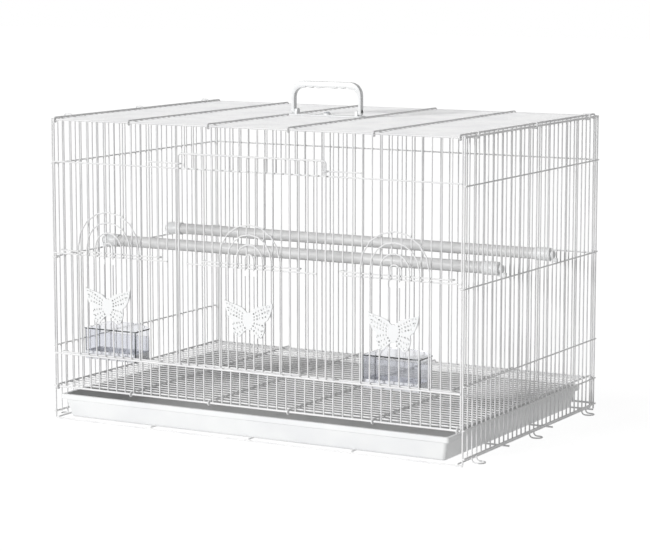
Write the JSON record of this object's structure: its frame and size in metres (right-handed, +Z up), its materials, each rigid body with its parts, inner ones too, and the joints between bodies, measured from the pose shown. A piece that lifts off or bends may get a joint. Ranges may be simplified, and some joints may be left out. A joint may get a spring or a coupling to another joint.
{
  "type": "bird cage",
  "caption": "Oblong wire bird cage for small birds: sliding arched doors, a large centre door, pull-out tray, perches, clear feeders and a folding carry handle.",
  "frame": {"origin": "on the floor, under the middle of the cage's outer box", "axes": "+X to the right along the front, seen from the front; +Y from the front to the back; +Z up"},
  "size_m": [0.637, 0.424, 0.45],
  "materials": {
    "coated_wire": "white powder coat, satin",
    "white_plastic": "moulded, satin",
    "perch_plastic": "moulded, matt, light grey",
    "clear_plastic": "clear, gloss",
    "plated_steel": "zinc plated"
  },
  "bodies": {
    "cage": {"front_panel": "coated_wire", "back_panel": "coated_wire", "left_side_panel": "coated_wire", "right_side_panel": "coated_wire", "roof_panel": "coated_wire", "floor_grate": "coated_wire", "base_cross_rail_1": "coated_wire", "base_cross_rail_2": "coated_wire", "base_cross_rail_3": "coated_wire", "base_cross_rail_4": "coated_wire", "base_runner_1": "coated_wire", "base_runner_2": "coated_wire", "base_runner_3": "coated_wire", "base_runner_4": "coated_wire", "base_runner_5": "coated_wire", "front_perch_rod": "perch_plastic", "rear_perch_rod": "perch_plastic", "front_perch_left_cap": "white_plastic", "front_perch_right_cap": "white_plastic", "rear_perch_left_cap": "white_plastic", "rear_perch_right_cap": "white_plastic", "left_front_roof_clip": "coated_wire", "left_middle_roof_clip": "coated_wire", "left_rear_roof_clip": "coated_wire", "right_front_roof_clip": "coated_wire", "right_middle_roof_clip": "coated_wire", "right_rear_roof_clip": "coated_wire", "handle_base": "white_plastic", "handle_clamp_plate": "white_plastic", "handle_screw": "plated_steel", "handle_nut": "plated_steel"},
    "left_door": {"left_arch_door": "coated_wire", "left_butterfly": "white_plastic"},
    "right_door": {"right_arch_door": "coated_wire", "right_butterfly": "white_plastic"},
    "large_door": {"large_door": "coated_wire"},
    "centre_door": {"centre_arch_door": "coated_wire", "centre_butterfly": "white_plastic"},
    "tray": {"tray": "white_plastic"},
    "handle": {"carry_handle": "white_plastic"},
    "left_feeder": {"left_feeder_cup": "clear_plastic", "left_feeder_hood": "clear_plastic"},
    "right_feeder": {"right_feeder_cup": "clear_plastic", "right_feeder_hood": "clear_plastic"}
  },
  "joints": [
    {"name": "left_door_slide", "type": "slide", "parent": "cage", "child": "left_door", "axis": [0, 0, 1], "range_m": [0, 0.112]},
    {"name": "right_door_slide", "type": "slide", "parent": "cage", "child": "right_door", "axis": [0, 0, 1], "range_m": [0, 0.112]},
    {"name": "large_door_slide", "type": "slide", "parent": "cage", "child": "large_door", "axis": [0, 0, 1], "range_m": [0, 0.24]},
    {"name": "centre_door_slide", "type": "slide", "parent": "large_door", "child": "centre_door", "axis": [0, 0, 1], "range_m": [0, 0.112]},
    {"name": "tray_slide", "type": "slide", "parent": "cage", "child": "tray", "axis": [0, -1, 0], "range_m": [0, 0.38]},
    {"name": "handle_fold", "type": "hinge", "parent": "cage", "child": "handle", "pos_m": [0, 0.00335, 0.41045], "axis": [1, 0, 0], "range_deg": [-90, 90]},
    {"name": "left_feeder_lift", "type": "slide", "parent": "cage", "child": "left_feeder", "axis": [0, 0, 1], "range_m": [0, 0.06]},
    {"name": "right_feeder_lift", "type": "slide", "parent": "cage", "child": "right_feeder", "axis": [0, 0, 1], "range_m": [0, 0.06]}
  ]
}
